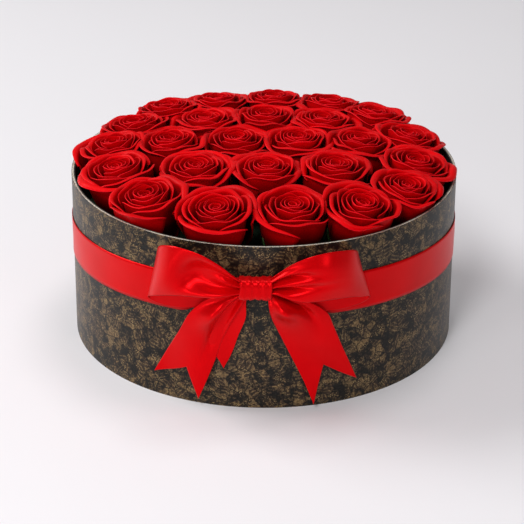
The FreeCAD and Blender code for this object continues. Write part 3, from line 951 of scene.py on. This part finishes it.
class FLOWERBOX_OT_knot(bpy.types.Operator):
    """Make the wrapped knot, and give the pinched core inside it the satin finish"""

    bl_idname = "flowerbox.knot"
    bl_label = "Bow knot"

    def execute(self, context):
        low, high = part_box("bow_knot")
        wide, deep, tall = (high - low) / 2
        # A wrapped tube along X: a rounded square profile, waisted in the middle, with pleats.
        t = np.linspace(0, 2 * np.pi, 97)[:-1][:, None]
        u = np.linspace(-1, 1, 25)[None, :]
        flare = 1 + 0.07 * u**2 - 0.02 * np.cos(2 * np.pi * u)
        pleat = 1 + 0.035 * np.sin(14 * u + 1.5 * np.sin(t))
        pleat = pleat + 0.02 * np.sin(31 * u + 2 * np.cos(t))
        square = (np.abs(np.cos(t)) ** 3.2 + np.abs(np.sin(t)) ** 3.2) ** (-1 / 3.2)
        r = square * flare * pleat * 0.93
        y = KNOT.y + deep * r * np.cos(t)
        z = KNOT.z + tall * r * np.sin(t) + 0 * u
        x = KNOT.x + wide * u + 0.5 * MM * np.sin(3 * t) + 0 * t
        grid = np.stack([x + 0 * y, y, z], -1)
        inner = grid.copy()
        inner[..., 1:] = np.array([KNOT.y, KNOT.z]) + 0.90 * (grid[..., 1:] - [KNOT.y, KNOT.z])
        rows, columns = grid.shape[:2]
        ids = np.arange(rows * columns).reshape(rows, columns)
        after = np.roll(ids, -1, axis=0)
        outer_quads = np.stack([ids[:, :-1], after[:, :-1], after[:, 1:], ids[:, 1:]], -1)
        back = rows * columns
        ends = []
        for column, flip in ((0, False), (columns - 1, True)):
            ring, nxt = ids[:, column], after[:, column]
            strip = np.stack([ring, ring + back, nxt + back, nxt], -1)
            ends.append(strip[:, ::-1] if flip else strip)
        quads = outer_quads.reshape(-1, 4)
        quads = np.concatenate([quads, quads[:, ::-1] + back, *ends])
        points = np.concatenate([grid.reshape(-1, 3), inner.reshape(-1, 3)])
        uv = np.stack([t * tall + 0 * u, wide * (u + 1) + 0 * t], -1).reshape(-1, 2)
        piece = make_piece(
            "bow_knot_satin", points, quads, satin(context), np.concatenate([uv, uv])
        )
        stand_for(piece, ["bow_knot"], "box")
        dress(satin(context), "bow_core")
        return {"FINISHED"}


class FLOWERBOX_OT_roses(bpy.types.Operator):
    """Make the open rose heads, petal by petal"""

    bl_idname = "flowerbox.roses"
    bl_label = "Rose heads"

    def execute(self, context):
        sizes = context.scene.flower_box_sizes
        finish = rose_petal(context.scene.flower_box_colours)
        for number, node in enumerate(HEADS, 1):
            head = Head(node, sizes)
            grids, uv, tone = petal_grids(
                sizes.petals, head.radius, head.height, head.outline, 100 + number
            )
            points, quads = shell(head.place(grids), sizes.petal_thickness)
            piece = make_piece(
                f"rose_{number:02d}",
                points,
                quads,
                finish,
                np.concatenate([uv, uv]),
                [("tone", np.concatenate([tone, tone]))],
            )
            stand_for(piece, [node], "insert")
        return {"FINISHED"}


class FLOWERBOX_OT_greens(bpy.types.Operator):
    """Make the sepals and leaflets, and finish the stems"""

    bl_idname = "flowerbox.greens"
    bl_label = "Stems, sepals and leaves"

    def execute(self, context):
        stem = green_growth("cut_rose_stem", "#24401A", "#3F6228", 0.5, 1.2)
        sepal = green_growth("rose_sepal", "#1C3512", "#3B5A22", 0.6, 0.9)
        leaf = green_growth("waxy_rose_leaf", "#0E260C", "#22441A", 0.38, 1.6)
        dress(stem, "rose_stems")
        dress(sepal, "rose_calyxes")
        heads = [Head(node, context.scene.flower_box_sizes) for node in HEADS]
        grids = [
            head.place(sepal_grids(0.8 * head.radius, head.height, 300 + i))
            for i, head in enumerate(heads)
        ]
        points, quads = shell(np.concatenate(grids), 0.7 * MM)
        piece = make_piece("rose_sepals", points, quads, sepal)
        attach(piece, "insert")
        low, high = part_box("rose_leaves")
        outer = sorted(h.bearing for h in heads if h.outer)
        gaps = [(a + b) / 2 for a, b in zip(outer, outer[1:])]
        radius = max(high.x, high.y) - 4 * MM
        grids = leaflet_grids(gaps, radius, low.z, high.z - 2 * MM, 7)
        points, quads = shell(grids, 0.5 * MM)
        piece = make_piece("rose_leaflets", points, quads, leaf)
        stand_for(piece, ["rose_leaves"], "insert")
        return {"FINISHED"}


class FLOWERBOX_OT_stage(bpy.types.Operator):
    """Set the pale floor, the soft lights and the camera"""

    bl_idname = "flowerbox.stage"
    bl_label = "Floor, lights and camera"

    def execute(self, context):
        scene = context.scene
        colours = scene.flower_box_colours
        linen, tree, surface = new_finish(
            "white_table_linen",
            {"Base Color": colours.table, "Roughness": 0.85, "Sheen Weight": 0.1},
        )
        weave = noise(tree, own_place(tree), 9.0, 3.0)
        coat(tree, surface, None, weave, 0.15, 4 * MM)
        half = 6.0
        corners = half * np.array([[-1, -1, 0], [1, -1, 0], [1, 1, 0], [-1, 1, 0]])
        floor = make_piece("table", corners, np.array([[0, 1, 2, 3]]), linen)

        world = bpy.data.worlds.new("pale_room")
        scene.world = world
        world.use_nodes = True
        sky = world.node_tree.nodes["Background"]
        sky.inputs["Color"].default_value = linear("#F6F3F4")
        sky.inputs["Strength"].default_value = 0.24
        lamps = (
            ("window", (-1.8, 0.5, 1.5), 1.4, 34.0),
            ("key", (-0.5, -1.6, 1.7), 0.6, 20.0),
            ("side", (-1.4, -1.7, 0.55), 0.7, 9.5),
            ("top", (0.3, 0.4, 2.2), 0.8, 11.0),
            ("fill", (1.1, -1.9, 0.7), 0.7, 4.5),
        )
        for name, spot, side, power in lamps:
            light = bpy.data.lights.new(name, "AREA")
            light.shape = "DISK"
            light.size = side
            light.energy = power
            lamp = bpy.data.objects.new(name, light)
            lamp.location = spot
            aim = Vector((0, 0, 0.08)) - lamp.location
            lamp.rotation_euler = aim.to_track_quat("-Z", "Y").to_euler()
            scene.collection.objects.link(lamp)

        # The camera looks along +Y and down on the bow.
        target = Vector((-0.0011, 0.0, 0.0484))
        dip, distance, roll = math.radians(25.63), 1.64, math.radians(0.36)
        view = bpy.data.cameras.new("front")
        view.sensor_width = 36.0
        view.lens = 140.9
        camera = bpy.data.objects.new("front", view)
        away = Vector((0.0, -math.cos(dip), math.sin(dip)))
        right = Vector((1.0, 0.0, 0.0))
        up = away.cross(right)
        right, up = (
            right * math.cos(roll) + up * math.sin(roll),
            up * math.cos(roll) - right * math.sin(roll),
        )
        turn = Matrix((right, up, away)).transposed().to_4x4()
        camera.matrix_world = Matrix.Translation(target + away * distance) @ turn
        scene.collection.objects.link(camera)
        scene.camera = camera
        scene.view_settings.view_transform = "Standard"
        return {"FINISHED"}


class FLOWERBOX_PT_panel(bpy.types.Panel):
    """Lists the flower box's steps"""

    bl_label = "Flower Box"
    bl_idname = "FLOWERBOX_PT_panel"
    bl_space_type = "VIEW_3D"
    bl_region_type = "UI"
    bl_category = "Flower Box"

    def draw(self, context):
        layout = self.layout
        for group in (context.scene.flower_box_sizes, context.scene.flower_box_colours):
            for key in group.__annotations__:
                layout.prop(group, key)
        for step in STEPS:
            layout.operator(step.bl_idname)


STEPS = (
    FLOWERBOX_OT_board,
    FLOWERBOX_OT_insert,
    FLOWERBOX_OT_band,
    FLOWERBOX_OT_loops,
    FLOWERBOX_OT_tails,
    FLOWERBOX_OT_knot,
    FLOWERBOX_OT_roses,
    FLOWERBOX_OT_greens,
    FLOWERBOX_OT_stage,
)
CLASSES = (FlowerBoxSizes, FlowerBoxColours, *STEPS, FLOWERBOX_PT_panel)


def register():
    for each in CLASSES:
        bpy.utils.register_class(each)
    bpy.types.Scene.flower_box_sizes = bpy.props.PointerProperty(type=FlowerBoxSizes)
    bpy.types.Scene.flower_box_colours = bpy.props.PointerProperty(type=FlowerBoxColours)


def unregister():
    del bpy.types.Scene.flower_box_colours
    del bpy.types.Scene.flower_box_sizes
    for each in reversed(CLASSES):
        bpy.utils.unregister_class(each)


def main():
    register()
    for step in STEPS:
        area, name = step.bl_idname.split(".")
        getattr(getattr(bpy.ops, area), name)()


if __name__ == "__main__":
    main()
